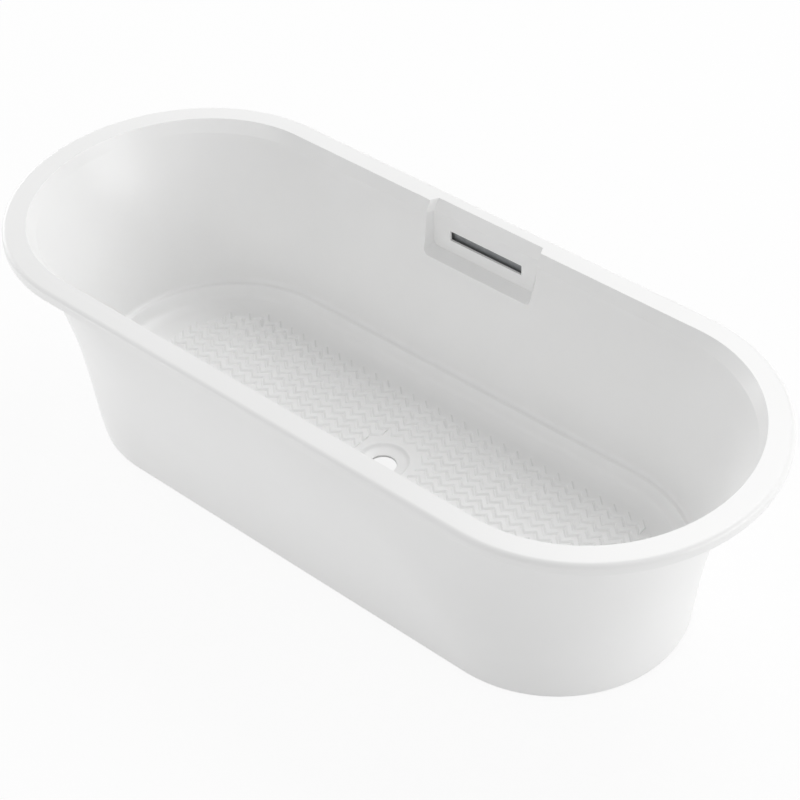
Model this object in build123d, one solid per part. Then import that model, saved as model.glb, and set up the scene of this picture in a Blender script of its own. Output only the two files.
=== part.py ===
# Freestanding bathtub: a moulded basin in a tapered skirt, on a steel frame with four levelling feet.
# Millimetres. +X along the bath, +Y towards the overflow, +Z up, origin on the floor under the middle.
from build123d import *
import math
import os

# Overall size of the rim
TUB_LENGTH = 1700.0
TUB_WIDTH = 730.0
TUB_HEIGHT = 478.0
RIM_END_REACH = 350.0

# Basin moulding
SHELL = 5.0
RIM_SIDE_WIDTH = 47.0
RIM_END_WIDTH = 51.0
RIM_INNER_REACH = 294.0
RIM_EDGE_RADIUS = 10.0
LIP_HEIGHT = 22.0
LIP_WALL = 5.0
BAND_HEIGHT = 25.0
BAND_SIDE_INSET = 12.5
BAND_END_INSET = 9.0
BAND_REACH = 309.0
BACKREST_DROP = 188.0
BACKREST_SIDE_INSET = 25.5
BACKREST_END_INSET = 64.0
BACKREST_REACH = 290.0
FLOOR_HEIGHT = 85.0
FLOOR_END_INSET = 117.0
FLOOR_SIDE_INSET = 65.0
FLOOR_REACH = 237.0
COVE_RISE = 10.0
COVE_RUN = 36.0
STEP_RISE = 24.0
STEP_SIDE_RUN = 13.5
STEP_END_RUN = 12.0
STEP_REACH = 254.0
LEDGE_SIDE_WIDTH = 14.0
LEDGE_END_WIDTH = 13.0
LEDGE_FALL = 1.5
LEDGE_REACH = 270.0

# Waste hole and the dish round it
WASTE_HOLE_RADIUS = 28.0
WASTE_DISH_RADIUS = 54.0
WASTE_DISH_FOOT_RADIUS = 44.0
WASTE_DISH_DEPTH = 10.0

# Overflow pocket in the rear side
POCKET_WIDTH = 272.0
POCKET_DEPTH = 21.0
POCKET_NOTCH = 17.0
POCKET_CHAMFER_HEIGHT = 23.0
POCKET_SILL_DROP = 105.0
POCKET_SILL_FALL = 6.0
POCKET_CORNER = 8.0
SLOT_WIDTH = 180.0
SLOT_HEIGHT = 22.0
SLOT_SILL_GAP = 28.0

# Slip tread on the floor
TREAD_PERIOD = 34.3
TREAD_ROW_PITCH = 23.3
TREAD_RIDGE_WIDTH = 7.0
TREAD_HEIGHT = 1.5
TREAD_SWING = 16.0
TREAD_END_MARGIN = 22.0
TREAD_SIDE_MARGIN = 10.0
TREAD_END_REACH = 172.0
TREAD_WASTE_MARGIN = 14.0

# Skirt
SKIRT_WALL = 4.0
SKIRT_GROUND_GAP = 3.0
SKIRT_SHOULDER_DROP = 38.0
SKIRT_TOP_END_GAP = 4.0
SKIRT_TOP_SIDE_INSET = 11.0
SKIRT_TOP_REACH_GAIN = 131.0
SKIRT_HIP_END_GAP = 10.0
SKIRT_HIP_SIDE_GAP = 41.0
SKIRT_HIP_REACH_GAIN = 141.0
SKIRT_WAIST_END_GAP = 2.5
SKIRT_WAIST_SIDE_GAP = 9.0
SKIRT_WAIST_REACH_GAIN = 33.0
SKIRT_BASE_END_INSET = 12.5
SKIRT_BASE_SIDE_INSET = 21.0
SKIRT_BASE_REACH = 267.0
SKIRT_NECK_END_FLARE = 19.5
SKIRT_NECK_SIDE_FLARE = 2.0
SKIRT_NECK_REACH_LOSS = 40.0
BOND_THICKNESS = 3.0

# Board under the floor
BOARD_THICKNESS = 12.0
BOARD_MARGIN = 12.0
BOARD_WASTE_CLEARANCE = 12.0

# Steel frame
RAIL_WIDTH = 30.0
RAIL_HEIGHT = 25.0
RAIL_OVERHANG = 50.0
RAIL_SIDE_INSET = 90.5
TUBE_WALL = 2.0
CROSS_TUBE_WIDTH = 25.0
CROSS_TUBE_OFFSET = 300.0
ANGLE_LEG = 20.0
ANGLE_THICKNESS = 3.0

# Levelling feet, M12
FOOT_END_INSET = 193.0
STEM_DIAMETER = 12.0
STEM_CLEARANCE = 0.4
STEM_TOP_GAP = 2.0
WELD_NUT_WIDTH = 19.0
WELD_NUT_HEIGHT = 10.0
LOCK_NUT_WIDTH = 18.0
LOCK_NUT_HEIGHT = 6.0
HEX_WIDTH = 17.0
HEX_HEIGHT = 8.0
PAD_DIAMETER = 46.0
PAD_FOOT_HEIGHT = 7.0
PAD_NECK_DIAMETER = 26.0
PAD_HEIGHT = 15.0
PAD_ROUND = 2.0
PIVOT_DIAMETER = 9.0
PIVOT_DEPTH = 6.0
PIVOT_CLEARANCE = 0.06
STOP_GAP = 0.3

# Screws
SCREW_DIAMETER = 4.0
SCREW_HEAD_DIAMETER = 8.0
SCREW_HEAD_HEIGHT = 2.5
BOARD_SCREW_LENGTH = 9.0
BOARD_SCREW_PITCH = 240.0
BOARD_SCREWS_PER_RAIL = 4

# Stays that tie the skirt to the frame
STAY_WIDTH = 30.0
STAY_THICKNESS = 4.0
STAY_OFFSET = 200.0
BLOCK_WIDTH = 60.0
BLOCK_DEPTH = 26.0
BLOCK_HEIGHT = 36.0

# Overflow waterway behind and under the pocket
DUCT_WALL = 2.0
DUCT_DEPTH = 7.5
DUCT_SIDE_MARGIN = 14.0
DUCT_TOP_MARGIN = 8.0
DUCT_CHAMBER_HEIGHT = 15.0
DUCT_CHAMBER_INSET = 25.5
DUCT_BACK_SLOPE = 5.5
DUCT_SHOULDER = 5.0
DUCT_BOSS_GAP = 0.5
GASKET_THICKNESS = 1.0
SPIGOT_RADIUS = 8.0
SPIGOT_WALL = 2.0
SPIGOT_LENGTH = 26.0
SPIGOT_FRONT_MARGIN = 0.5

# Angle of half a round, for the ends of every outline
HALF_TURN = 180.0

# Heights and half sizes that follow
half_length = TUB_LENGTH / 2
half_width = TUB_WIDTH / 2
rim_under = TUB_HEIGHT - SHELL
lip_foot = TUB_HEIGHT - LIP_HEIGHT
band_height = TUB_HEIGHT - BAND_HEIGHT
backrest_height = TUB_HEIGHT - BACKREST_DROP
cove_height = FLOOR_HEIGHT + COVE_RISE
step_height = cove_height + STEP_RISE
ledge_height = step_height + LEDGE_FALL
floor_under = FLOOR_HEIGHT - SHELL
board_under = floor_under - BOARD_THICKNESS
rail_under = board_under - RAIL_HEIGHT
nut_under = rail_under - WELD_NUT_HEIGHT
lock_nut_under = nut_under - LOCK_NUT_HEIGHT

os.makedirs("parts", exist_ok=True)


def save(shape, node):
    export_step(shape, f"parts/{node}.step")


def outline(size, height, grow=0.0):
    """Face of a long outline with straight sides and elliptical ends; size is (a, b, reach)."""
    a, b, reach = size[0] + grow, size[1] + grow, size[2] + grow
    straight = a - reach
    rear = Line((straight, b), (-straight, b))
    left = EllipticalCenterArc((-straight, 0), reach, b, HALF_TURN / 2, arc_size=HALF_TURN)
    front = Line((-straight, -b), (straight, -b))
    right = EllipticalCenterArc((straight, 0), reach, b, -HALF_TURN / 2, arc_size=HALF_TURN)
    return Plane.XY.offset(height) * make_face([rear, left, front, right])


def tower(size, low, high, grow=0.0):
    """Upright prism of such an outline between two heights."""
    return extrude(outline(size, low, grow), amount=high - low, dir=(0, 0, 1))


def tube_along_x(length, width, height, wall):
    return Box(length, width, height) - Box(length, width - 2 * wall, height - 2 * wall)


def disc(radius, low, high, x=0.0, y=0.0):
    """Upright cylinder between two heights."""
    place = Pos(x, y, low)
    return place * Cylinder(radius, high - low, align=(Align.CENTER, Align.CENTER, Align.MIN))


def hexagon(width, low, high, x=0.0, y=0.0):
    """Upright hexagonal bar, width across flats, between two heights."""
    profile = RegularPolygon(width / 2, 6, major_radius=False)
    return extrude(Pos(x, y, low) * profile, amount=high - low, dir=(0, 0, 1))


# Outlines of the basin, from the rim to the floor, as (half length, half width, end reach)
rim_outer = (half_length, half_width, RIM_END_REACH)
rim_inner = (half_length - RIM_END_WIDTH, half_width - RIM_SIDE_WIDTH, RIM_INNER_REACH)
band_foot = (rim_inner[0] - BAND_END_INSET, rim_inner[1] - BAND_SIDE_INSET, BAND_REACH)
backrest = (band_foot[0] - BACKREST_END_INSET, band_foot[1] - BACKREST_SIDE_INSET, BACKREST_REACH)
floor_edge = (band_foot[0] - FLOOR_END_INSET, band_foot[1] - FLOOR_SIDE_INSET, FLOOR_REACH)
flat_floor = (floor_edge[0] - COVE_RUN, floor_edge[1] - COVE_RUN, FLOOR_REACH - COVE_RUN)
step_edge = (floor_edge[0] + STEP_END_RUN, floor_edge[1] + STEP_SIDE_RUN, STEP_REACH)
ledge_edge = (step_edge[0] + LEDGE_END_WIDTH, step_edge[1] + LEDGE_SIDE_WIDTH, LEDGE_REACH)

# Outlines of the skirt, which follows the basin's outside down to the ledge and then draws in to the ground
walls = SHELL + SKIRT_WALL
skirt_top = (
    band_foot[0] + walls + SKIRT_TOP_END_GAP,
    half_width - SKIRT_TOP_SIDE_INSET,
    band_foot[2] + SKIRT_TOP_REACH_GAIN,
)
skirt_hip = (
    backrest[0] + walls + SKIRT_HIP_END_GAP,
    backrest[1] + walls + SKIRT_HIP_SIDE_GAP,
    backrest[2] + SKIRT_HIP_REACH_GAIN,
)
skirt_waist = (
    ledge_edge[0] + walls + SKIRT_WAIST_END_GAP,
    ledge_edge[1] + walls + SKIRT_WAIST_SIDE_GAP,
    ledge_edge[2] + SKIRT_WAIST_REACH_GAIN,
)
skirt_base = (skirt_waist[0] - SKIRT_BASE_END_INSET, skirt_waist[1] - SKIRT_BASE_SIDE_INSET, SKIRT_BASE_REACH)
skirt_neck = (
    skirt_top[0] + SKIRT_NECK_END_FLARE,
    skirt_top[1] + SKIRT_NECK_SIDE_FLARE,
    skirt_top[2] - SKIRT_NECK_REACH_LOSS,
)
skirt_shoulder = TUB_HEIGHT - SKIRT_SHOULDER_DROP
bond_low = rim_under - BOND_THICKNESS


def bowl(grow, drop, top):
    """The basin's hollow, or with grow and drop its outside under the rim."""
    band = loft([outline(rim_inner, top, grow), outline(band_foot, band_height, grow)], ruled=True)
    wall = loft(
        [
            outline(band_foot, band_height, grow),
            outline(backrest, backrest_height, grow),
            outline(ledge_edge, ledge_height - drop, grow),
        ]
    )
    ledge = loft(
        [outline(ledge_edge, ledge_height - drop, grow), outline(step_edge, step_height - drop, grow)],
        ruled=True,
    )
    step = loft(
        [outline(step_edge, step_height - drop, grow), outline(floor_edge, cove_height - drop, grow)],
        ruled=True,
    )
    cove = loft(
        [outline(floor_edge, cove_height - drop, grow), outline(flat_floor, FLOOR_HEIGHT - drop, grow)],
        ruled=True,
    )
    return band + wall + ledge + step + cove


# Overflow pocket: where its panel, sill and slot stand
pocket_half = POCKET_WIDTH / 2
pocket_panel = band_foot[1] + POCKET_DEPTH - POCKET_SILL_FALL
pocket_notch = rim_inner[1] + POCKET_NOTCH
pocket_sill = TUB_HEIGHT - POCKET_SILL_DROP
pocket_chamfer_foot = TUB_HEIGHT - POCKET_CHAMFER_HEIGHT
pocket_back = pocket_panel + SHELL
well_side = step_edge[1]
slot_low = pocket_sill + SLOT_SILL_GAP
boss_low = pocket_sill - SHELL - POCKET_SILL_FALL
slot_middle = slot_low + SLOT_HEIGHT / 2


def pocket_profile(panel, notch, sill, top):
    """Section of the pocket across the bath, drawn on the YZ plane."""
    sill_run = panel - well_side
    sill_drop = POCKET_SILL_FALL * sill_run / POCKET_DEPTH
    points = [
        (well_side, top),
        (notch, top),
        (notch, TUB_HEIGHT),
        (panel, pocket_chamfer_foot),
        (panel, sill),
        (well_side, sill - sill_drop),
    ]
    return Plane.YZ * make_face(Polyline(*points, close=True))


def basin():
    rim = tower(rim_outer, lip_foot, TUB_HEIGHT)
    rim = fillet(rim.edges().group_by(Axis.Z)[-1], RIM_EDGE_RADIUS)
    rim -= tower(rim_outer, lip_foot, rim_under, -LIP_WALL)
    boss = extrude(
        Plane.YZ * make_face(
            Polyline(
                (well_side, boss_low),
                (pocket_back, boss_low),
                (pocket_back, pocket_chamfer_foot - SHELL / 2),
                (pocket_notch + SHELL, TUB_HEIGHT - SHELL / 2),
                (well_side, TUB_HEIGHT - SHELL / 2),
                close=True,
            )
        ),
        amount=pocket_half + SHELL,
        both=True,
    )
    dish_low = FLOOR_HEIGHT - WASTE_DISH_DEPTH - SHELL
    dish = disc(WASTE_DISH_RADIUS + SHELL, dish_low, FLOOR_HEIGHT - SHELL / 2)
    body = rim + bowl(SHELL, SHELL, TUB_HEIGHT - SHELL / 2) + boss + dish
    body -= bowl(0, 0, TUB_HEIGHT)
    pocket = extrude(
        pocket_profile(pocket_panel, pocket_notch, pocket_sill, TUB_HEIGHT + SHELL),
        amount=pocket_half,
        both=True,
    )
    lower_corners = pocket.edges().filter_by(Axis.Y, tolerance=30).group_by(Axis.Z)[0]
    body -= fillet(lower_corners, POCKET_CORNER)
    slot = Pos(0, pocket_back, slot_middle) * Box(SLOT_WIDTH, 4 * SHELL, SLOT_HEIGHT)
    body -= slot
    cone = Pos(0, 0, FLOOR_HEIGHT - WASTE_DISH_DEPTH / 2) * Cone(
        WASTE_DISH_FOOT_RADIUS, WASTE_DISH_RADIUS, WASTE_DISH_DEPTH
    )
    body -= cone
    body -= disc(WASTE_HOLE_RADIUS, dish_low - SHELL, FLOOR_HEIGHT)
    return body


def slip_tread():
    """Rows of zigzag ridges that fill an oval field and leave the waste dish clear."""
    half_period = TREAD_PERIOD / 2
    field_a = flat_floor[0] - TREAD_END_MARGIN
    field_b = flat_floor[1] - TREAD_SIDE_MARGIN
    rows = int(2 * field_b / TREAD_ROW_PITCH)
    straight = field_a - TREAD_END_REACH
    band = TREAD_RIDGE_WIDTH / math.cos(math.atan(TREAD_SWING / half_period)) / 2
    clear = WASTE_DISH_RADIUS + TREAD_WASTE_MARGIN
    ridges = []
    for row in range(rows):
        y = (row - (rows - 1) / 2) * TREAD_ROW_PITCH
        reach = straight + TREAD_END_REACH * math.sqrt(1 - (y / field_b) ** 2)
        last = int(reach / half_period)
        stops = [index for index in range(-last, last + 1)]
        runs = [stops]
        if abs(y) < clear:
            gap = math.sqrt(clear**2 - y**2)
            runs = [[i for i in stops if i * half_period < -gap], [i for i in stops if i * half_period > gap]]
        for run in runs:
            crest = [(i * half_period, y + TREAD_SWING * (0.5 if i % 2 else -0.5)) for i in run]
            upper = [(x, crest_y + band) for x, crest_y in crest]
            lower = [(x, crest_y - band) for x, crest_y in reversed(crest)]
            strip = make_face(Polyline(*upper, *lower, close=True))
            ridges.append(extrude(Pos(0, 0, FLOOR_HEIGHT) * strip, amount=TREAD_HEIGHT))
    return Compound(children=ridges)


def skirt_solid(grow):
    """Skirt filled in, from its foot to the underside of the bond."""
    flare = loft(
        [
            outline(skirt_base, SKIRT_GROUND_GAP, grow),
            outline(skirt_waist, ledge_height, grow),
            outline(skirt_hip, backrest_height, grow),
            outline(skirt_top, skirt_shoulder, grow),
        ]
    )
    neck = loft(
        [outline(skirt_top, skirt_shoulder, grow), outline(skirt_neck, bond_low, grow)],
        ruled=True,
    )
    return flare + neck


def rim_bond():
    """Bead of adhesive between the skirt's top edge and the underside of the rim."""
    return tower(skirt_neck, bond_low, rim_under) - tower(skirt_neck, bond_low, rim_under, -SKIRT_WALL)


def floor_board():
    board = tower(flat_floor, board_under, floor_under, -BOARD_MARGIN)
    opening = WASTE_DISH_RADIUS + SHELL + BOARD_WASTE_CLEARANCE
    board -= disc(opening, board_under, floor_under)
    for x, y in board_screw_places:
        board -= disc(screw_hole, board_under, board_under + BOARD_SCREW_LENGTH, x, y)
    return board


rail_y = floor_edge[1] - RAIL_SIDE_INSET
rail_middle = board_under - RAIL_HEIGHT / 2
cross_length = 2 * rail_y - RAIL_WIDTH
foot_offset = floor_edge[0] - FOOT_END_INSET
rail_length = 2 * (foot_offset + RAIL_OVERHANG)
foot_places = [(x, y) for y in (-rail_y, rail_y) for x in (-foot_offset, foot_offset)]
screw_span = BOARD_SCREW_PITCH * (BOARD_SCREWS_PER_RAIL - 1)
board_screw_x = [index * BOARD_SCREW_PITCH - screw_span / 2 for index in range(BOARD_SCREWS_PER_RAIL)]
board_screw_places = [(x, y) for y in (-rail_y, rail_y) for x in board_screw_x]
stem_hole = STEM_DIAMETER / 2 + STEM_CLEARANCE
screw_hole = SCREW_DIAMETER / 2
head_hole = SCREW_HEAD_DIAMETER / 2 + STEM_CLEARANCE


def frame_rail(y):
    """Long rail: open-ended tube with foot holes below and screw holes through it."""
    rail = Pos(0, y, rail_middle) * tube_along_x(rail_length, RAIL_WIDTH, RAIL_HEIGHT, TUBE_WALL)
    for x in (-foot_offset, foot_offset):
        rail -= disc(stem_hole, rail_under, rail_under + TUBE_WALL, x, y)
    for x in board_screw_x:
        rail -= disc(head_hole, rail_under, rail_under + TUBE_WALL, x, y)
        rail -= disc(screw_hole, board_under - TUBE_WALL, board_under, x, y)
    return rail


def cross_tube(x):
    tube = Rot(0, 0, 90) * tube_along_x(cross_length, CROSS_TUBE_WIDTH, RAIL_HEIGHT, TUBE_WALL)
    return Pos(x, 0, rail_middle) * tube


def corner_angles():
    """Angle brackets in the corners between the rails and the cross tubes."""
    corner = Box(ANGLE_LEG, ANGLE_LEG, RAIL_HEIGHT - 2 * TUBE_WALL, align=(Align.MIN, Align.MIN, Align.CENTER))
    inside = Pos(ANGLE_THICKNESS, ANGLE_THICKNESS, 0) * Box(
        ANGLE_LEG, ANGLE_LEG, RAIL_HEIGHT, align=(Align.MIN, Align.MIN, Align.CENTER)
    )
    angle = corner - inside
    inner_y = rail_y - RAIL_WIDTH / 2
    inner_x = CROSS_TUBE_OFFSET - CROSS_TUBE_WIDTH / 2
    turns = [(-inner_x, -inner_y, 0), (inner_x, -inner_y, 90), (inner_x, inner_y, 180), (-inner_x, inner_y, 270)]
    return Compound(children=[Pos(x, y, rail_middle) * Rot(0, 0, turn) * angle for x, y, turn in turns])


def screw(length):
    """Pan-head screw pointing up, its seat at the origin."""
    shank = Cylinder(SCREW_DIAMETER / 2, length, align=(Align.CENTER, Align.CENTER, Align.MIN))
    head = Cylinder(SCREW_HEAD_DIAMETER / 2, SCREW_HEAD_HEIGHT, align=(Align.CENTER, Align.CENTER, Align.MAX))
    return shank + head


def board_screws():
    seat = board_under - TUBE_WALL
    length = TUBE_WALL + BOARD_SCREW_LENGTH
    return Compound(children=[Pos(x, y, seat) * screw(length) for x, y in board_screw_places])


def weld_nuts():
    nuts = []
    for x, y in foot_places:
        block = Pos(x, y, rail_under - WELD_NUT_HEIGHT / 2) * Box(WELD_NUT_WIDTH, WELD_NUT_WIDTH, WELD_NUT_HEIGHT)
        nuts.append(block - disc(stem_hole, nut_under, rail_under, x, y))
    return Compound(children=nuts)


def lock_nuts():
    nuts = []
    for x, y in foot_places:
        nut = hexagon(LOCK_NUT_WIDTH, lock_nut_under, nut_under, x, y)
        nuts.append(nut - disc(stem_hole, lock_nut_under, nut_under, x, y))
    return Compound(children=nuts)


# A foot at rest is screwed right in: its hexagon stands just under the lock nut
hex_top = lock_nut_under - STOP_GAP
hex_low = hex_top - HEX_HEIGHT
stem_top = board_under - TUBE_WALL - STEM_TOP_GAP
pivot_low = PAD_HEIGHT - PIVOT_DEPTH


def foot_stem(x, y):
    stem = disc(STEM_DIAMETER / 2, PAD_HEIGHT, stem_top, x, y)
    pivot = disc(PIVOT_DIAMETER / 2, pivot_low, PAD_HEIGHT, x, y)
    return stem + hexagon(HEX_WIDTH, hex_low, hex_top, x, y) + pivot


def foot_pad(x, y):
    sole = disc(PAD_DIAMETER / 2, 0, PAD_FOOT_HEIGHT, x, y)
    sole = fillet(sole.edges().group_by(Axis.Z)[-1], PAD_ROUND)
    neck = disc(PAD_NECK_DIAMETER / 2, PAD_FOOT_HEIGHT, PAD_HEIGHT, x, y)
    socket = disc(PIVOT_DIAMETER / 2 + PIVOT_CLEARANCE, pivot_low, PAD_HEIGHT, x, y)
    return sole + neck - socket


block_low = rail_under
block_high = rail_under + BLOCK_HEIGHT
skirt_inside = skirt_solid(-SKIRT_WALL)
stay_places = [(x, side) for side in (-1, 1) for x in (-STAY_OFFSET, STAY_OFFSET)]


def skirt_side_at(height):
    """Half width of the skirt's inside at a height below its waist."""
    share = (height - SKIRT_GROUND_GAP) / (ledge_height - SKIRT_GROUND_GAP)
    return skirt_base[1] + SKIRT_BASE_SIDE_INSET * share - SKIRT_WALL


stay_screw_y = skirt_side_at(block_low) - BLOCK_DEPTH * 2 / 3


def skirt_blocks():
    """Blocks bonded to the inside of the skirt, cut to its slope."""
    blocks = []
    inner = skirt_side_at(block_low) - BLOCK_DEPTH
    depth = 2 * BLOCK_DEPTH
    for x, side in stay_places:
        raw = Pos(x, side * (inner + depth / 2), (block_low + block_high) / 2) * Box(
            BLOCK_WIDTH, depth, BLOCK_HEIGHT
        )
        block = raw & skirt_inside
        blocks.append(block - disc(screw_hole, block_low, block_low + BOARD_SCREW_LENGTH, x, side * stay_screw_y))
    return Compound(children=blocks)


def skirt_stays():
    """Flat bars from the rails' undersides out under the blocks."""
    bars = []
    inner = rail_y - RAIL_WIDTH / 2
    outer = skirt_side_at(block_low) - BLOCK_DEPTH / 3
    for x, side in stay_places:
        bar = Pos(x, side * (inner + outer) / 2, rail_under - STAY_THICKNESS / 2) * Box(
            STAY_WIDTH, outer - inner, STAY_THICKNESS
        )
        bars.append(bar - disc(screw_hole, rail_under - STAY_THICKNESS, rail_under, x, side * stay_screw_y))
    return Compound(children=bars)


def stay_screws():
    seat = rail_under - STAY_THICKNESS
    length = STAY_THICKNESS + BOARD_SCREW_LENGTH
    return Compound(children=[Pos(x, side * stay_screw_y, seat) * screw(length) for x, side in stay_places])


# Overflow waterway: a flat channel over the back of the slot, a chamber under the pocket, a spigot down
duct_half = SLOT_WIDTH / 2 + DUCT_SIDE_MARGIN
duct_high = slot_low + SLOT_HEIGHT + DUCT_TOP_MARGIN
duct_front = pocket_back + GASKET_THICKNESS
duct_back = duct_front + DUCT_DEPTH
chamber_high = boss_low - DUCT_BOSS_GAP
chamber_low = chamber_high - DUCT_CHAMBER_HEIGHT
chamber_front = duct_front - DUCT_CHAMBER_INSET
chamber_back = duct_back - DUCT_BACK_SLOPE
spigot_y = chamber_front + SPIGOT_FRONT_MARGIN + SPIGOT_RADIUS
gasket_low = pocket_sill
gasket_height = duct_high - gasket_low


def overflow_gasket():
    """Flat gasket between the pocket's panel and the waterway."""
    plate = Pos(0, pocket_back + GASKET_THICKNESS / 2, gasket_low + gasket_height / 2) * Box(
        2 * duct_half, GASKET_THICKNESS, gasket_height
    )
    window = Pos(0, pocket_back, slot_middle) * Box(SLOT_WIDTH, 4 * GASKET_THICKNESS, SLOT_HEIGHT)
    return plate - window


def overflow_duct():
    section = make_face(
        Polyline(
            (duct_front, duct_high),
            (duct_back, duct_high),
            (duct_back, chamber_high + DUCT_SHOULDER),
            (chamber_back, chamber_low),
            (chamber_front, chamber_low),
            (chamber_front, chamber_high),
            (duct_front, chamber_high),
            close=True,
        )
    )
    body = extrude(Plane.YZ * section, amount=duct_half, both=True)
    inside = duct_half - DUCT_WALL
    body -= extrude(Plane.YZ * offset(section, -DUCT_WALL), amount=inside, both=True)
    mouth_low = gasket_low + DUCT_WALL
    mouth_high = duct_high - DUCT_WALL
    mouth = Box(2 * inside, 3 * DUCT_WALL, mouth_high - mouth_low)
    body -= Pos(0, duct_front, (mouth_low + mouth_high) / 2) * mouth
    spigot_low = chamber_low - SPIGOT_LENGTH
    body += disc(SPIGOT_RADIUS, spigot_low, chamber_low, 0, spigot_y)
    bore = SPIGOT_RADIUS - SPIGOT_WALL
    return body - disc(bore, spigot_low, chamber_low + DUCT_WALL, 0, spigot_y)


save(basin(), "basin")
save(slip_tread(), "slip_tread")
save(skirt_solid(0) - skirt_inside, "skirt")
save(rim_bond(), "rim_bond")
save(floor_board(), "floor_board")
save(frame_rail(-rail_y), "frame_rail_front")
save(frame_rail(rail_y), "frame_rail_rear")
save(cross_tube(-CROSS_TUBE_OFFSET), "cross_tube_left")
save(cross_tube(CROSS_TUBE_OFFSET), "cross_tube_right")
save(corner_angles(), "corner_angles")
save(board_screws(), "board_screws")
save(weld_nuts(), "weld_nuts")
save(lock_nuts(), "lock_nuts")
for number, (foot_x, foot_y) in enumerate(foot_places, start=1):
    save(foot_stem(foot_x, foot_y), f"foot_stem_{number}")
    save(foot_pad(foot_x, foot_y), f"foot_pad_{number}")
save(skirt_blocks(), "skirt_blocks")
save(skirt_stays(), "skirt_stays")
save(stay_screws(), "stay_screws")
save(overflow_gasket(), "overflow_gasket")
save(overflow_duct(), "overflow_duct")
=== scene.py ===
# Freestanding bathtub: a white moulded basin in a tapered skirt, on a steel frame with levelling feet.
# Metres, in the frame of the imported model: +X along the bath, +Y towards the overflow, +Z up.
import bmesh
import bpy
import math
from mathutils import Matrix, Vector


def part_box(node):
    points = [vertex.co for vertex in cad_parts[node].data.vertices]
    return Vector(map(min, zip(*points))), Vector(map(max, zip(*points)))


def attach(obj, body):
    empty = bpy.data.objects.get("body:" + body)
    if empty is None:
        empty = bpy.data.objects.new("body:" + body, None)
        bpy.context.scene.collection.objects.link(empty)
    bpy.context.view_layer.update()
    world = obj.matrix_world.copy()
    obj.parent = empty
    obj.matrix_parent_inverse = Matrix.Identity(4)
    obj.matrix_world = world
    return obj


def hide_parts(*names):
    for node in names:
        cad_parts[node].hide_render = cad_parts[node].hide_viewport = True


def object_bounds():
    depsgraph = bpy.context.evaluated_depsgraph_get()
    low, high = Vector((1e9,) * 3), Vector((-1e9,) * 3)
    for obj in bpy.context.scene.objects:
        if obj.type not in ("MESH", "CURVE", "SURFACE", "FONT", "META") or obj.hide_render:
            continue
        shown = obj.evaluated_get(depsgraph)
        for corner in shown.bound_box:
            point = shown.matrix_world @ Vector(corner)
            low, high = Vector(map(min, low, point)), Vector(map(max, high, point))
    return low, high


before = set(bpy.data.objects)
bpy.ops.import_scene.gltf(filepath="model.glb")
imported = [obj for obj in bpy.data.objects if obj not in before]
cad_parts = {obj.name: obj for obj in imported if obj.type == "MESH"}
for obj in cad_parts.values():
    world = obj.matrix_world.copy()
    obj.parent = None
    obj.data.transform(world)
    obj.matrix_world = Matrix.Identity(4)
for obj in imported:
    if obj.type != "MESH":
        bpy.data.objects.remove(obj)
cad_low, cad_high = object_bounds()
scene = bpy.context.scene
scene.view_settings.view_transform = "Standard"

# Camera: a long lens from the front right, well above the rim.
# The picture is cropped out of a wider one, so the lens axis lies right of its middle.
CAMERA_PLACE = (2.0076, -2.1201, 2.7629)
CAMERA_AZIMUTH = math.radians(39.42)
CAMERA_ELEVATION = math.radians(40.85)
CAMERA_LENS_MM = 89.95
CAMERA_SHIFT = -0.1074
bpy.ops.object.camera_add(
    location=CAMERA_PLACE, rotation=(math.pi / 2 - CAMERA_ELEVATION, 0, CAMERA_AZIMUTH)
)
camera = bpy.context.object
camera.data.lens = CAMERA_LENS_MM
camera.data.shift_x = CAMERA_SHIFT
scene.camera = camera

# Studio: a pale sweep of paper in a pale room, both white to the lens, with a soft shadow left on the paper.
# One large soft lamp hangs behind the bath and one stands off each end; a weaker one hangs in front and a
# long narrow one lies low at the front left.
PAPER_SIZE = 16.0
PAPER_DROP = 0.0005
PAPER_COLOUR = (0.92, 0.92, 0.92, 1.0)
PAPER_ROUGHNESS = 0.9
PAPER_WHITENESS = 0.90
ROOM_COLOUR = (1.0, 1.0, 1.0, 1.0)
ROOM_LIGHT = 0.52
LAMP_AIM = (0.0, 0.0, 0.35)
LOW_LAMP_AIM = (0.0, 0.0, 0.3)


def new_material(name):
    """New node material, with its nodes, its links and its surface shader."""
    material = bpy.data.materials.new(name)
    material.use_nodes = True
    nodes = material.node_tree.nodes
    return material, nodes, material.node_tree.links, nodes["Principled BSDF"]


def seen_by_lens(nodes, links):
    """Socket that is 1 for what the lens sees, also in a gloss or through glass, and 0 otherwise."""
    ray = nodes.new("ShaderNodeLightPath")
    seen = nodes.new("ShaderNodeMath")
    seen.operation = "MAXIMUM"
    links.new(ray.outputs["Is Camera Ray"], seen.inputs[0])
    links.new(ray.outputs["Is Glossy Ray"], seen.inputs[1])
    seen_through = nodes.new("ShaderNodeMath")
    seen_through.operation = "MAXIMUM"
    links.new(seen.outputs[0], seen_through.inputs[0])
    links.new(ray.outputs["Is Transmission Ray"], seen_through.inputs[1])
    return seen_through.outputs[0]


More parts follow.
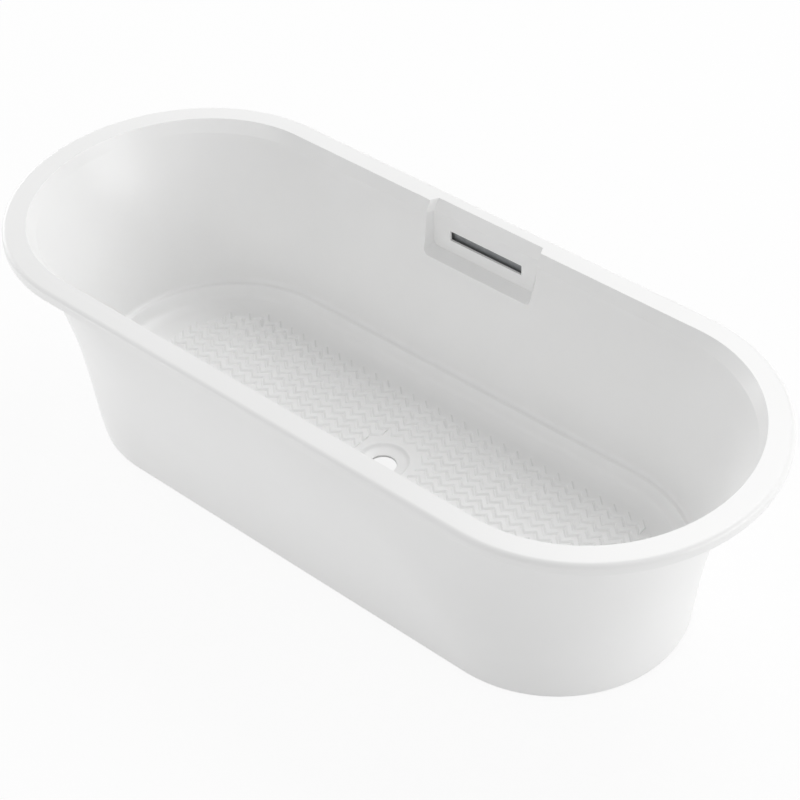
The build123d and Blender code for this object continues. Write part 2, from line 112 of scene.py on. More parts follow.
bpy.ops.object.select_all(action="DESELECT")
bpy.ops.mesh.primitive_plane_add(size=PAPER_SIZE, location=(0, 0, cad_low.z - PAPER_DROP))
paper = bpy.context.object
paper.name = "paper_floor"
paper_white, nodes, links, shader = new_material("paper_white")
shader.inputs["Base Color"].default_value = PAPER_COLOUR
shader.inputs["Roughness"].default_value = PAPER_ROUGHNESS
shader.inputs["Specular IOR Level"].default_value = 0.0
glow = nodes.new("ShaderNodeEmission")
whiteness = nodes.new("ShaderNodeMath")
whiteness.operation = "MULTIPLY"
whiteness.inputs[1].default_value = PAPER_WHITENESS
links.new(seen_by_lens(nodes, links), whiteness.inputs[0])
blend = nodes.new("ShaderNodeMixShader")
links.new(whiteness.outputs[0], blend.inputs["Fac"])
links.new(shader.outputs["BSDF"], blend.inputs[1])
links.new(glow.outputs["Emission"], blend.inputs[2])
links.new(blend.outputs["Shader"], nodes["Material Output"].inputs["Surface"])
paper.data.materials.append(paper_white)

room = bpy.data.worlds.new("room")
room.use_nodes = True
scene.world = room
nodes = room.node_tree.nodes
links = room.node_tree.links
level = nodes.new("ShaderNodeMix")
level.data_type = "FLOAT"
level.inputs["A"].default_value = ROOM_LIGHT
level.inputs["B"].default_value = 1.0
links.new(seen_by_lens(nodes, links), level.inputs["Factor"])
links.new(level.outputs["Result"], nodes["Background"].inputs["Strength"])
nodes["Background"].inputs["Color"].default_value = ROOM_COLOUR


def add_lamp(name, place, aim, width, depth, power):
    """Soft rectangular lamp that shines from its place towards its aim."""
    bpy.ops.object.light_add(type="AREA", location=place)
    lamp = bpy.context.object
    lamp.name = name
    lamp.data.shape = "RECTANGLE"
    lamp.data.size = width
    lamp.data.size_y = depth
    lamp.data.energy = power
    direction = [target - start for target, start in zip(aim, place)]
    spread = math.hypot(direction[0], direction[1])
    lamp.rotation_euler = (
        math.atan2(spread, -direction[2]),
        0,
        math.atan2(direction[1], direction[0]) - math.pi / 2,
    )


add_lamp("back_lamp", place=(0.0, 2.6, 4.0), aim=LAMP_AIM, width=3.4, depth=2.0, power=78.0)
add_lamp("front_lamp", place=(-1.2, -4.2, 2.8), aim=LAMP_AIM, width=2.0, depth=1.2, power=14.0)
add_lamp("right_lamp", place=(4.8, 1.3, 1.25), aim=LAMP_AIM, width=3.4, depth=1.8, power=63.0)
add_lamp("left_lamp", place=(-5.0, 0.6, 1.4), aim=LAMP_AIM, width=3.4, depth=1.8, power=51.0)
add_lamp("low_left_lamp", place=(-2.4, -2.8, 0.15), aim=LOW_LAMP_AIM, width=2.4, depth=0.3, power=16.0)

# Basin: one sheet of white acrylic drawn over a mould and backed with resin.
# A flat rim turns down into a lip; the well has a narrow sloped band, near-upright walls, a ledge, a step,
# a flat floor with a dish round the waste hole, and a pocket for the overflow slot in its rear side.
SHELL = 0.005
LIP_HEIGHT = 0.022
RIM_END_REACH = 0.350
RIM_END_WIDTH = 0.051
RIM_SIDE_WIDTH = 0.047
RIM_INNER_REACH = 0.294
BAND_HEIGHT = 0.025
BAND_END_INSET = 0.009
BAND_SIDE_INSET = 0.0125
BAND_REACH = 0.309
BACKREST_DROP = 0.188
BACKREST_END_INSET = 0.064
BACKREST_SIDE_INSET = 0.0255
BACKREST_REACH = 0.290
FLOOR_END_INSET = 0.117
FLOOR_SIDE_INSET = 0.065
FLOOR_REACH = 0.237
STEP_END_RUN = 0.012
STEP_SIDE_RUN = 0.0135
STEP_REACH = 0.254
LEDGE_END_WIDTH = 0.013
LEDGE_SIDE_WIDTH = 0.014
LEDGE_REACH = 0.270
COVE_RUN = 0.036
HOLE_RADIUS = 0.028
DISH_RADIUS = 0.054
DISH_WALL_RUN = 0.005
DISH_WALL_DROP = 0.007
DISH_FOOT_RADIUS = 0.040
DISH_FALL = 0.001

# Heights above the ground, from the rim down
rim_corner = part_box("basin")[1]
RIM_TOP = rim_corner.z
LIP_FOOT = RIM_TOP - LIP_HEIGHT
BAND_FOOT = RIM_TOP - BAND_HEIGHT
BACKREST = RIM_TOP - BACKREST_DROP
LEDGE = 0.1205
STEP = 0.119
COVE = 0.095
FLOOR = 0.085
DISH = 0.075

# How finely the basin is divided, and how near points have to lie to count as one
RING_POINTS = 192
WALL_STEPS = 12
COVE_STEPS = 6
SEAM_MERGE = 0.00001
POCKET_MERGE = 0.00005


def grown(size, amount):
    """The same outline, larger all round."""
    return tuple(value + amount for value in size)


# Outlines as (half length, half width, reach of the round end)
rim_outer = (rim_corner.x, rim_corner.y, RIM_END_REACH)
rim_inner = (rim_outer[0] - RIM_END_WIDTH, rim_outer[1] - RIM_SIDE_WIDTH, RIM_INNER_REACH)
lip_inner = grown(rim_outer, -SHELL)
band_foot = (rim_inner[0] - BAND_END_INSET, rim_inner[1] - BAND_SIDE_INSET, BAND_REACH)
backrest = (band_foot[0] - BACKREST_END_INSET, band_foot[1] - BACKREST_SIDE_INSET, BACKREST_REACH)
floor_edge = (band_foot[0] - FLOOR_END_INSET, band_foot[1] - FLOOR_SIDE_INSET, FLOOR_REACH)
step_edge = (floor_edge[0] + STEP_END_RUN, floor_edge[1] + STEP_SIDE_RUN, STEP_REACH)
ledge_edge = (step_edge[0] + LEDGE_END_WIDTH, step_edge[1] + LEDGE_SIDE_WIDTH, LEDGE_REACH)
flat_floor = grown(floor_edge, -COVE_RUN)
dish_rim = (DISH_RADIUS,) * 3
dish_wall = grown(dish_rim, -DISH_WALL_RUN)
dish_foot = (DISH_FOOT_RADIUS,) * 3
dish_back = grown(dish_rim, SHELL)
hole = (HOLE_RADIUS,) * 3


def start_ring(name, size, height):
    """New object in edit mode with one closed outline: a circle drawn out into straight sides."""
    bpy.ops.object.select_all(action="DESELECT")
    bpy.ops.mesh.primitive_circle_add(
        vertices=RING_POINTS, radius=1.0, rotation=(0, 0, math.pi / RING_POINTS)
    )
    bpy.ops.object.transform_apply(location=True, rotation=True, scale=True)
    piece = bpy.context.object
    piece.name = name
    bpy.ops.object.mode_set(mode="EDIT")
    bpy.ops.mesh.select_mode(type="VERT")
    bpy.ops.mesh.select_all(action="SELECT")
    reshape_ring(piece, ((1.0, 1.0, 1.0), 0.0), (size, height))
    return piece


def reshape_ring(piece, old, new):
    """Takes the selected ring from one outline and height to another, one end of the bath at a time."""
    mesh = bmesh.from_edit_mesh(piece.data)
    ring = [vert for vert in mesh.verts if vert.select]
    ends = [[v.index for v in ring if v.co.x < 0], [v.index for v in ring if v.co.x > 0]]
    (old_size, old_height), (new_size, new_height) = old, new
    for side, chosen in zip((-1, 1), ends):
        mesh = bmesh.from_edit_mesh(piece.data)
        mesh.verts.ensure_lookup_table()
        bpy.ops.mesh.select_all(action="DESELECT")
        for index in chosen:
            mesh.verts[index].select = True
        mesh.select_flush_mode()
        bmesh.update_edit_mesh(piece.data)
        centre = side * (old_size[0] - old_size[2])
        bpy.ops.transform.resize(
            value=(new_size[2] / old_size[2], new_size[1] / old_size[1], 1.0),
            center_override=(centre, 0, old_height),
        )
        moved = side * (new_size[0] - new_size[2]) - centre
        bpy.ops.transform.translate(value=(moved, 0, new_height - old_height))
    mesh = bmesh.from_edit_mesh(piece.data)
    mesh.verts.ensure_lookup_table()
    for index in ends[0] + ends[1]:
        mesh.verts[index].select = True
    mesh.select_flush_mode()
    bmesh.update_edit_mesh(piece.data)


def sweep(name, rings):
    """Closed shell through a list of (outline, height); the last ring meets the first."""
    piece = start_ring(name, *rings[0])
    for old, new in zip(rings, rings[1:] + rings[:1]):
        bpy.ops.mesh.extrude_region_move()
        reshape_ring(piece, old, new)
    bpy.ops.mesh.select_all(action="SELECT")
    bpy.ops.mesh.remove_doubles(threshold=SEAM_MERGE)
    bpy.ops.mesh.normals_make_consistent(inside=False)
    bpy.ops.object.mode_set(mode="OBJECT")
    return piece


def curve_through(points, height):
    """Value at a height on the smooth curve through a few (height, value) points."""
    total = 0.0
    for here, value in points:
        for there, _ in points:
            if there != here:
                value *= (height - there) / (here - there)
        total += value
    return total


def flared_rings(knots, count, grow=0.0):
    """Rings up a smoothly flared wall through a few (height, outline) knots."""
    low, high = knots[0][0], knots[-1][0]
    rings = []
    for index in range(count + 1):
        height = low + (high - low) * index / count
        size = tuple(curve_through([(z, outline[k]) for z, outline in knots], height) for k in range(3))
        rings.append((grown(size, grow), height))
    return rings


wall_inside = flared_rings([(LEDGE, ledge_edge), (BACKREST, backrest), (BAND_FOOT, band_foot)], WALL_STEPS)
wall_outside = flared_rings(
    [(LEDGE - SHELL, ledge_edge), (BACKREST, backrest), (BAND_FOOT, band_foot)], WALL_STEPS, SHELL
)
cove = []
for index in range(COVE_STEPS + 1):
    share = index / COVE_STEPS
    cove.append((grown(floor_edge, -COVE_RUN * share), FLOOR + (COVE - FLOOR) * (1 - share) ** 2))
basin_rings = (
    [(rim_outer, LIP_FOOT), (rim_outer, RIM_TOP), (rim_inner, RIM_TOP)]
    + wall_inside[::-1]
    + [(step_edge, STEP)]
    + cove
    + [(dish_rim, FLOOR), (dish_wall, FLOOR - DISH_WALL_DROP), (dish_foot, DISH + DISH_FALL), (hole, DISH)]
    + [(hole, DISH - SHELL), (dish_back, DISH - SHELL), (dish_back, FLOOR - SHELL)]
    + [(grown(flat_floor, SHELL), FLOOR - SHELL), (grown(floor_edge, SHELL), COVE - SHELL)]
    + [(grown(step_edge, SHELL), STEP - SHELL)]
    + wall_outside
    + [(grown(rim_inner, SHELL), RIM_TOP - SHELL), (lip_inner, RIM_TOP - SHELL), (lip_inner, LIP_FOOT)]
)
basin = sweep("basin_moulding", basin_rings)

# Overflow pocket: moulded in one with the basin, and open through the band and the rim in a shallow notch.
# A boss is joined on behind the rear wall, and the hollow and the slot are then cut into it from the well.
POCKET_HALF = 0.134
POCKET_FRONT = 0.285
POCKET_CORNER = 0.012
POCKET_CORNER_STEPS = 6
POCKET_ROUND = 0.0025
PANEL_SETBACK = 0.015
NOTCH_DEPTH = 0.017
SILL_DROP = 0.105
SILL_FALL = 0.010
CHAMFER_HEIGHT = 0.023
BOSS_HALF = 0.141
BOSS_SILL_GAP = 0.011
BOSS_FOOT_FRONT = 0.2925
BOSS_BAND_FRONT = 0.3085
BOSS_TOP_FRONT = 0.3195
SLOT_HALF = 0.090
SLOT_HEIGHT = 0.022
SLOT_SILL_GAP = 0.028
SLOT_LEAD_IN = 0.006
SLOT_ROUND = 0.0008
PANEL = band_foot[1] + PANEL_SETBACK
NOTCH = rim_inner[1] + NOTCH_DEPTH
SILL = RIM_TOP - SILL_DROP
CHAMFER_FOOT = RIM_TOP - CHAMFER_HEIGHT
BOSS_LOW = SILL - BOSS_SILL_GAP
BOSS_TOP = RIM_TOP - SHELL / 2
BOSS_BEND = CHAMFER_FOOT - SHELL / 2
SLOT_LOW = SILL + SLOT_SILL_GAP
SLOT_HIGH = SLOT_LOW + SLOT_HEIGHT

# How far each line of the hollow spreads along the bath, as a factor of the hollow's own length
PANEL_SPREAD = 0.985
BAND_SPREAD = 1.11
NOTCH_SPREAD = 0.978
RIM_SPREAD = 1.153
CUT_ABOVE_RIM = 0.02

# Limits within which points and edges are picked by their place
NEAR = 0.0005
SLOT_FACE_NEAR = 0.0003
RING_NEAR = 0.0002
RING_SHARE_NEAR = 0.004
UPWARD = 0.9
SHARP = math.radians(12)
POCKET_EDGE_HALF = 0.1405
POCKET_EDGE_DROP = 0.0095
WALL_CUT = 0.165


def pick(piece, kind, test):
    """In edit mode, selects the points, edges or faces that pass the test, and nothing else."""
    bpy.ops.mesh.select_mode(type=kind)
    bpy.ops.mesh.select_all(action="DESELECT")
    mesh = bmesh.from_edit_mesh(piece.data)
    for item in {"VERT": mesh.verts, "EDGE": mesh.edges, "FACE": mesh.faces}[kind]:
        item.select = test(item)
    mesh.select_flush_mode()
    bmesh.update_edit_mesh(piece.data)


def edit(piece):
    """Makes the piece the only selected one and opens it for modelling."""
    bpy.ops.object.select_all(action="DESELECT")
    piece.select_set(True)
    bpy.context.view_layer.objects.active = piece
    bpy.ops.object.mode_set(mode="EDIT")


def round_edges(piece, test, width, steps):
    """Bevels the edges that pass the test."""
    edit(piece)
    pick(piece, "EDGE", test)
    bpy.ops.mesh.bevel(offset=width, segments=steps, profile=0.5, affect="EDGES", clamp_overlap=True)
    bpy.ops.object.mode_set(mode="OBJECT")


def on_ring(size, height):
    """Test for the edges that run along one outline."""

    def matches(edge):
        for vert in edge.verts:
            if abs(vert.co.z - height) > RING_NEAR:
                return False
            over = max(abs(vert.co.x) - (size[0] - size[2]), 0.0) / size[2]
            if abs(math.hypot(over, vert.co.y / size[1]) - 1.0) > RING_SHARE_NEAR:
                return False
        return True

    return matches


def add_block(name, low, high):
    """Rectangular block between two corners, its place in its mesh."""
    bpy.ops.object.select_all(action="DESELECT")
    middle = [(a + b) / 2 for a, b in zip(low, high)]
    bpy.ops.mesh.primitive_cube_add(size=1.0, location=middle, scale=[b - a for a, b in zip(low, high)])
    bpy.ops.object.transform_apply(location=True, rotation=True, scale=True)
    block = bpy.context.object
    block.name = name
    return block


def combine(piece, tool, operation):
    """Joins a block to the piece or cuts it out, and takes the block away."""
    bpy.ops.object.select_all(action="DESELECT")
    bpy.context.view_layer.objects.active = piece
    change = piece.modifiers.new("combine", "BOOLEAN")
    change.operation = operation
    change.solver = "EXACT"
    change.object = tool
    bpy.ops.object.modifier_apply(modifier="combine")
    bpy.data.objects.remove(tool)


def at(height=None, depth=None):
    """Test for the points at a height and a depth across the bath."""

    def matches(vert):
        level = height is None or abs(vert.co.z - height) < NEAR
        return level and (depth is None or abs(vert.co.y - depth) < NEAR)

    return matches


def faces_up(face):
    """Test for the faces that look upwards."""
    return face.normal.z > UPWARD


def push(piece, test, move):
    """Moves the points that pass the test."""
    pick(piece, "VERT", test)
    bpy.ops.transform.translate(value=move)


def widen(piece, test, factor):
    """Spreads the points that pass the test along the bath."""
    pick(piece, "VERT", test)
    bpy.ops.transform.resize(value=(factor, 1.0, 1.0), center_override=(0, 0, 0))


def raise_top(piece, height):
    """Extrudes the top face upwards."""
    pick(piece, "FACE", faces_up)
    bpy.ops.mesh.extrude_region_move(TRANSFORM_OT_translate={"value": (0, 0, height)})


def sill_corner(edge):
    """Test for the two lower corners of the hollow, which run from the panel out into the well."""
    low = all(vert.co.z < SILL + 2 * NEAR for vert in edge.verts)
    return low and edge.verts[0].co.x * edge.verts[1].co.x > 0


def pocket_edge(edge):
    """Test for the sharp edges of the pocket that face the well."""
    if len(edge.link_faces) != 2 or edge.calc_face_angle() < SHARP:
        return False
    for vert in edge.verts:
        x, y, z = vert.co
        if abs(x) > POCKET_EDGE_HALF or y < POCKET_FRONT or z < SILL - POCKET_EDGE_DROP:
            return False
        if y > (PANEL if z < CHAMFER_FOOT + 2 * NEAR else NOTCH) + NEAR:
            return False
        if abs(x) < SLOT_HALF + 2 * NEAR and SLOT_LOW - 2 * NEAR < z < SLOT_HIGH + 2 * NEAR:
            return False
    return True


def slot_edge(edge):
    """Test for the front edges of the overflow slot."""
    for vert in edge.verts:
        if abs(vert.co.y - PANEL) > SLOT_FACE_NEAR or abs(vert.co.x) > SLOT_HALF + NEAR:
            return False
        if not SLOT_LOW - NEAR < vert.co.z < SLOT_HIGH + NEAR:
            return False
    return True


edit(basin)
for side in (-1, 1):
    bpy.ops.mesh.select_all(action="SELECT")
    bpy.ops.mesh.bisect(plane_co=(side * WALL_CUT, 0, 0), plane_no=(1, 0, 0))
bpy.ops.object.mode_set(mode="OBJECT")

boss = add_block(
    "pocket_boss", (-BOSS_HALF, BOSS_FOOT_FRONT, BOSS_LOW), (BOSS_HALF, PANEL + SHELL, BOSS_BEND)
)
edit(boss)
raise_top(boss, RIM_TOP - CHAMFER_FOOT)
push(boss, at(BOSS_TOP, PANEL + SHELL), (0, NOTCH - PANEL, 0))
push(boss, at(BOSS_TOP, BOSS_FOOT_FRONT), (0, BOSS_TOP_FRONT - BOSS_FOOT_FRONT, 0))
push(boss, at(BOSS_BEND, BOSS_FOOT_FRONT), (0, BOSS_BAND_FRONT - BOSS_FOOT_FRONT, 0))
bpy.ops.object.mode_set(mode="OBJECT")
combine(basin, boss, "UNION")

hollow = add_block(
    "pocket_hollow", (-POCKET_HALF, POCKET_FRONT, SILL), (POCKET_HALF, PANEL, CHAMFER_FOOT)
)
edit(hollow)
raise_top(hollow, RIM_TOP - CHAMFER_FOOT)
push(hollow, at(RIM_TOP, PANEL), (0, NOTCH - PANEL, 0))
raise_top(hollow, CUT_ABOVE_RIM)
push(hollow, at(SILL, POCKET_FRONT), (0, 0, -SILL_FALL))
widen(hollow, at(CHAMFER_FOOT, PANEL), PANEL_SPREAD)
widen(hollow, at(CHAMFER_FOOT, POCKET_FRONT), BAND_SPREAD)
widen(hollow, at(None, NOTCH), NOTCH_SPREAD)
for cut_height in (RIM_TOP, RIM_TOP + CUT_ABOVE_RIM):
    widen(hollow, at(cut_height, POCKET_FRONT), RIM_SPREAD)
pick(hollow, "EDGE", sill_corner)
bpy.ops.mesh.bevel(offset=POCKET_CORNER, segments=POCKET_CORNER_STEPS, profile=0.5, affect="EDGES")
bpy.ops.object.mode_set(mode="OBJECT")
combine(basin, hollow, "DIFFERENCE")

slot = add_block(
    "overflow_slot",
    (-SLOT_HALF, PANEL - SLOT_LEAD_IN, SLOT_LOW),
    (SLOT_HALF, PANEL + 2 * SHELL, SLOT_HIGH),
)
combine(basin, slot, "DIFFERENCE")

rim_edge = on_ring(rim_inner, RIM_TOP)
round_edges(basin, lambda edge: rim_edge(edge) or pocket_edge(edge), POCKET_ROUND, steps=3)
round_edges(basin, slot_edge, SLOT_ROUND, steps=2)

# Other edges of the basin, each with the width of its round and the steps in it
EDGE_ROUNDS = [
    (rim_outer, RIM_TOP, 0.010, 6),
    (rim_outer, LIP_FOOT, 0.002, 3),
    (band_foot, BAND_FOOT, 0.003, 3),
    (ledge_edge, LEDGE, 0.008, 5),
    (step_edge, STEP, 0.0025, 4),
    (floor_edge, COVE, 0.005, 4),
    (dish_rim, FLOOR, 0.002, 3),
    (dish_wall, FLOOR - DISH_WALL_DROP, 0.003, 3),
    (hole, DISH, 0.0012, 3),
]
for size, height, width, steps in EDGE_ROUNDS:
    round_edges(basin, on_ring(size, height), width, steps)
edit(basin)
bpy.ops.mesh.select_all(action="SELECT")
bpy.ops.mesh.remove_doubles(threshold=POCKET_MERGE)
bpy.ops.object.mode_set(mode="OBJECT")


def smooth(piece, degrees):
    """Smooth shading with the flatter faces leading, and sharp lines kept where faces meet steeply."""
    bpy.ops.object.select_all(action="DESELECT")
    piece.select_set(True)
    bpy.context.view_layer.objects.active = piece
    bpy.ops.object.shade_smooth_by_angle(angle=math.radians(degrees))
    piece.modifiers.new("even_shading", "WEIGHTED_NORMAL").keep_sharp = True
    bpy.ops.object.modifier_apply(modifier="even_shading")


smooth(basin, degrees=35)

CLOUD_DETAIL = 4.0
CLOUD_DARK_AT = 0.3
CLOUD_LIGHT_AT = 0.7
BUMP_DEPTH = 0.001


def cloudy(name, dark, light, scale, roughness, bump, stretch=(1.0, 1.0, 1.0), metal=0.0):
    """Finish whose colour, roughness and surface vary together in soft clouds."""
    material, nodes, links, shader = new_material(name)
    place = nodes.new("ShaderNodeTexCoord")
    spread = nodes.new("ShaderNodeMapping")
    spread.inputs["Scale"].default_value = stretch
    links.new(place.outputs["Object"], spread.inputs["Vector"])
    clouds = nodes.new("ShaderNodeTexNoise")
    clouds.inputs["Scale"].default_value = scale
    clouds.inputs["Detail"].default_value = CLOUD_DETAIL
    links.new(spread.outputs["Vector"], clouds.inputs["Vector"])
    colours = nodes.new("ShaderNodeValToRGB")
    colours.color_ramp.elements[0].position = CLOUD_DARK_AT
    colours.color_ramp.elements[0].color = (*dark, 1.0)
    colours.color_ramp.elements[1].position = CLOUD_LIGHT_AT
    colours.color_ramp.elements[1].color = (*light, 1.0)
    links.new(clouds.outputs["Fac"], colours.inputs["Fac"])
    links.new(colours.outputs["Color"], shader.inputs["Base Color"])
    polish = nodes.new("ShaderNodeMapRange")
    polish.inputs["To Min"].default_value = roughness[0]
    polish.inputs["To Max"].default_value = roughness[1]
    links.new(clouds.outputs["Fac"], polish.inputs["Value"])
    links.new(polish.outputs["Result"], shader.inputs["Roughness"])
    surface = nodes.new("ShaderNodeBump")
    surface.inputs["Distance"].default_value = BUMP_DEPTH
    surface.inputs["Strength"].default_value = bump
    links.new(clouds.outputs["Fac"], surface.inputs["Height"])
    links.new(surface.outputs["Normal"], shader.inputs["Normal"])
    shader.inputs["Metallic"].default_value = metal
    return material


white_acrylic = cloudy(
    "white_acrylic",
    dark=(0.915, 0.915, 0.911),
    light=(0.93, 0.93, 0.927),
    scale=6.0,
    roughness=(0.26, 0.36),
    bump=0.02,
)
basin.data.materials.append(white_acrylic)
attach(basin, "tub")
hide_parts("basin")

# Slip tread: rows of broad zigzag ridges with narrow grooves between them, moulded in one with the acrylic
# floor; the place round the waste is left clear. One period of the ridge is drawn, repeated along the bath,
# copied for each row and cut to length.
TREAD_PERIOD = 0.0343
TREAD_PERIODS = 36
TREAD_PITCH = 0.0233
TREAD_ROWS = 16
TREAD_SWING = 0.016
TREAD_CLEAR = 0.068
TREAD_END_MARGIN = 0.022
TREAD_SIDE_MARGIN = 0.010
TREAD_END_REACH = 0.172
RIDGE_WIDTH = 0.0222
RIDGE_CREST = 0.0108
RIDGE_HEIGHT = 0.0036
RIDGE_SINK = 0.0004
RIDGE_ROUND = 0.0008
RIDGE_MERGE = 0.00005
RIDGE_CUT_BACK = 0.0001
RIDGE_CUT_NEAR = 0.00001
ENDWARD = 0.99
tread_field = (flat_floor[0] - TREAD_END_MARGIN, flat_floor[1] - TREAD_SIDE_MARGIN, TREAD_END_REACH)
half_period = TREAD_PERIOD / 2

bpy.ops.object.select_all(action="DESELECT")
ridge_start = (-TREAD_PERIODS * half_period, -TREAD_SWING / 2, FLOOR + (RIDGE_HEIGHT - RIDGE_SINK) / 2)
bpy.ops.mesh.primitive_plane_add(size=1.0, location=ridge_start, rotation=(0, math.pi / 2, 0))
bpy.ops.object.transform_apply(location=True, rotation=True, scale=True)
ridge = bpy.context.object
ridge.name = "tread_ridge"
edit(ridge)
bpy.ops.mesh.select_all(action="SELECT")
bpy.ops.transform.resize(
    value=(1.0, RIDGE_WIDTH, RIDGE_HEIGHT + RIDGE_SINK), center_override=ridge_start
)
pick(ridge, "VERT", lambda vert: vert.co.z > FLOOR)
bpy.ops.transform.resize(value=(1.0, RIDGE_CREST / RIDGE_WIDTH, 1.0), center_override=ridge_start)
bpy.ops.mesh.bevel(offset=RIDGE_ROUND, segments=2, affect="VERTICES")
bpy.ops.mesh.select_mode(type="FACE")
bpy.ops.mesh.select_all(action="SELECT")
for turn in (1, -1):
    bpy.ops.mesh.extrude_region_move(
        TRANSFORM_OT_translate={"value": (half_period, turn * TREAD_SWING, 0)}
    )
pick(ridge, "FACE", lambda face: abs(face.normal.x) > ENDWARD)
bpy.ops.mesh.delete(type="ONLY_FACE")
bpy.ops.object.mode_set(mode="OBJECT")
repeat = ridge.modifiers.new("repeat", "ARRAY")
repeat.count = TREAD_PERIODS
repeat.use_relative_offset = False
repeat.use_constant_offset = True
repeat.constant_offset_displace = (TREAD_PERIOD, 0, 0)
repeat.use_merge_vertices = True
repeat.merge_threshold = RIDGE_MERGE
bpy.ops.object.modifier_apply(modifier="repeat")


def lay_ridge(row_y, start, end):
    """Copy of the ridge across the bath, cut off square at both ends."""
    bpy.ops.object.select_all(action="DESELECT")
    ridge.select_set(True)
    bpy.context.view_layer.objects.active = ridge
    bpy.ops.object.duplicate()
    strip = bpy.context.object
    edit(strip)
    bpy.ops.mesh.select_all(action="SELECT")
    bpy.ops.transform.translate(value=(0, row_y, 0))
    for place, facing in ((start, -1), (end, 1)):
        bpy.ops.mesh.select_all(action="SELECT")
        bpy.ops.mesh.bisect(
            plane_co=(place, 0, 0),
            plane_no=(facing, 0, 0),
            use_fill=True,
            clear_outer=True,
            threshold=RIDGE_CUT_NEAR,
        )
    bpy.ops.object.mode_set(mode="OBJECT")
    return strip


strips = []
for row in range(TREAD_ROWS):
    row_y = (row - (TREAD_ROWS - 1) / 2) * TREAD_PITCH
    run = tread_field[0] - tread_field[2] * (1 - math.sqrt(1 - (row_y / tread_field[1]) ** 2))
    last = int(run / half_period) * half_period - RIDGE_CUT_BACK
    if abs(row_y) < TREAD_CLEAR:
        gap = (int(math.sqrt(TREAD_CLEAR**2 - row_y**2) / half_period) + 1) * half_period
        strips.append(lay_ridge(row_y, -last, -gap))
        strips.append(lay_ridge(row_y, gap, last))
    else:
        strips.append(lay_ridge(row_y, -last, last))
bpy.data.objects.remove(ridge)
bpy.ops.object.select_all(action="DESELECT")
for strip in strips:
    strip.select_set(True)
bpy.context.view_layer.objects.active = strips[0]
bpy.ops.object.join()
tread = strips[0]
tread.name = "slip_tread_ridges"
smooth(tread, degrees=50)
tread.data.materials.append(white_acrylic)
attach(tread, "tub")
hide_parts("slip_tread")

# Skirt: a second white acrylic shell round the basin, wide under the rim and drawn in towards the ground.
# It hangs from a bead of adhesive under the rim, and its foot stays just clear of the ground.
SKIRT_WALL = 0.004
SKIRT_FOOT = 0.003
SKIRT_FOOT_ROUND = 0.0015
SKIRT_STEPS = 20
SHOULDER_DROP = 0.038
NECK_DROP = 0.008
TOP_END_GAP = 0.004
TOP_SIDE_INSET = 0.011
TOP_REACH_GAIN = 0.131
HIP_END_GAP = 0.010
HIP_SIDE_GAP = 0.041
HIP_REACH_GAIN = 0.141
WAIST_END_GAP = 0.0025
WAIST_SIDE_GAP = 0.009
WAIST_REACH_GAIN = 0.033
BASE_END_INSET = 0.0125
BASE_SIDE_INSET = 0.021
BASE_REACH = 0.267
NECK_END_FLARE = 0.0195
NECK_SIDE_FLARE = 0.002
NECK_REACH_LOSS = 0.040
SHOULDER = RIM_TOP - SHOULDER_DROP
NECK_TOP = RIM_TOP - NECK_DROP
both_walls = SHELL + SKIRT_WALL
skirt_top = (
    band_foot[0] + both_walls + TOP_END_GAP,
    rim_outer[1] - TOP_SIDE_INSET,
    band_foot[2] + TOP_REACH_GAIN,
)
skirt_hip = (
    backrest[0] + both_walls + HIP_END_GAP,
    backrest[1] + both_walls + HIP_SIDE_GAP,
    backrest[2] + HIP_REACH_GAIN,
)
skirt_waist = (
    ledge_edge[0] + both_walls + WAIST_END_GAP,
    ledge_edge[1] + both_walls + WAIST_SIDE_GAP,
    ledge_edge[2] + WAIST_REACH_GAIN,
)
skirt_base = (skirt_waist[0] - BASE_END_INSET, skirt_waist[1] - BASE_SIDE_INSET, BASE_REACH)
skirt_neck = (
    skirt_top[0] + NECK_END_FLARE,
    skirt_top[1] + NECK_SIDE_FLARE,
    skirt_top[2] - NECK_REACH_LOSS,
)
skirt_knots = [(SKIRT_FOOT, skirt_base), (LEDGE, skirt_waist), (BACKREST, skirt_hip), (SHOULDER, skirt_top)]
skirt_outside = flared_rings(skirt_knots, SKIRT_STEPS) + [(skirt_neck, NECK_TOP)]
skirt_inside = [(grown(size, -SKIRT_WALL), height) for size, height in skirt_outside[::-1]]
skirt = sweep("outer_skirt", skirt_outside + skirt_inside)
round_edges(skirt, on_ring(skirt_base, SKIRT_FOOT), SKIRT_FOOT_ROUND, steps=3)
smooth(skirt, degrees=35)
white_skirt = cloudy(
    "white_skirt",
    dark=(0.905, 0.905, 0.901),
    light=(0.925, 0.925, 0.922),
    scale=4.0,
    roughness=(0.28, 0.40),
    bump=0.03,
)
skirt.data.materials.append(white_skirt)
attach(skirt, "tub")
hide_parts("skirt")


# Rim bond: a bead of grey-white silicone adhesive, run round the top edge of the skirt.
# It is pressed against the underside of the rim, and holds the two shells together once it has cured.
def clad(material, names):
    """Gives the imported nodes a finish."""
    for name in names:
        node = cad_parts[name]
        node.data.materials.clear()
        node.data.materials.append(material)


silicone_bead = cloudy(
    "silicone_bead",
    dark=(0.70, 0.70, 0.67),
    light=(0.80, 0.80, 0.77),
    scale=40.0,
    roughness=(0.45, 0.6),
    bump=0.15,
)
clad(silicone_bead, ["rim_bond"])

# Floor board: a panel of chipboard under the floor, open round the waste and sealed with resin.
# It is glued to the back of the basin, and stiffens the floor where a bather stands.
sealed_chipboard = cloudy(
    "sealed_chipboard",
    dark=(0.36, 0.25, 0.14),
    light=(0.66, 0.53, 0.36),
    scale=160.0,
    roughness=(0.5, 0.75),
    bump=0.3,
)
clad(sealed_chipboard, ["floor_board"])

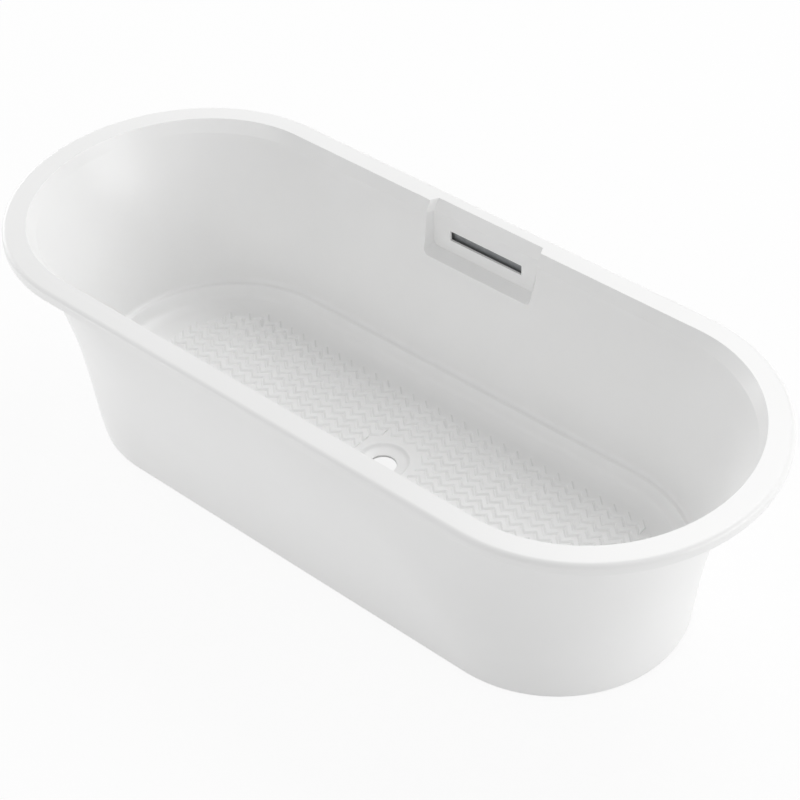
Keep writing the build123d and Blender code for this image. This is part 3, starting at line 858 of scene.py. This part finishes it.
# Skirt blocks: short lengths of sawn softwood with the grain along the bath.
# They are bonded inside the skirt with resin, and take the screws of the stays.
sawn_softwood = cloudy(
    "sawn_softwood",
    dark=(0.50, 0.37, 0.22),
    light=(0.72, 0.58, 0.40),
    scale=90.0,
    roughness=(0.6, 0.8),
    bump=0.3,
    stretch=(0.08, 1.0, 1.0),
)
clad(sawn_softwood, ["skirt_blocks"])

# Frame: two rails and two cross tubes of rectangular steel tube with their corner angles, weld nuts and flat
# stays, all galvanised. The angles and nuts are welded on, and the stays run out to the skirt's blocks.
galvanised_steel = cloudy(
    "galvanised_steel",
    dark=(0.36, 0.37, 0.38),
    light=(0.58, 0.59, 0.60),
    scale=70.0,
    roughness=(0.35, 0.55),
    bump=0.05,
    metal=0.85,
)
TUBES = ["frame_rail_front", "frame_rail_rear", "cross_tube_left", "cross_tube_right"]
clad(galvanised_steel, TUBES + ["corner_angles", "weld_nuts", "skirt_stays"])

# Screws, lock nuts and foot stems: turned and rolled from steel bar, then zinc plated.
# The screws hold the frame to the board and the stays to the blocks; each stem turns in a weld nut, and its
# lock nut keeps it where it was set.
FEET = (1, 2, 3, 4)
zinc_plated_steel = cloudy(
    "zinc_plated_steel",
    dark=(0.55, 0.55, 0.54),
    light=(0.70, 0.70, 0.68),
    scale=220.0,
    roughness=(0.22, 0.4),
    bump=0.03,
    metal=1.0,
)
clad(zinc_plated_steel, ["board_screws", "stay_screws", "lock_nuts"])
clad(zinc_plated_steel, [f"foot_stem_{number}" for number in FEET])

# Foot pads: moulded in black rubbery plastic, one under each stem.
# The round end of the stem sits in the pad's socket, so the pad stays still on the ground while it turns.
pad_plastic = cloudy(
    "pad_plastic",
    dark=(0.035, 0.035, 0.036),
    light=(0.07, 0.07, 0.072),
    scale=300.0,
    roughness=(0.5, 0.7),
    bump=0.2,
)
clad(pad_plastic, [f"foot_pad_{number}" for number in FEET])

# Overflow gasket and duct: a frame cut from black rubber sheet and a flat grey plastic moulding with a
# spigot. The duct sits over the gasket behind the slot, and leads the water down to the spigot.
gasket_rubber = cloudy(
    "gasket_rubber",
    dark=(0.03, 0.03, 0.03),
    light=(0.06, 0.06, 0.06),
    scale=250.0,
    roughness=(0.6, 0.8),
    bump=0.2,
)
clad(gasket_rubber, ["overflow_gasket"])
duct_plastic = cloudy(
    "duct_plastic",
    dark=(0.26, 0.27, 0.28),
    light=(0.33, 0.34, 0.35),
    scale=120.0,
    roughness=(0.4, 0.55),
    bump=0.1,
)
clad(duct_plastic, ["overflow_duct"])
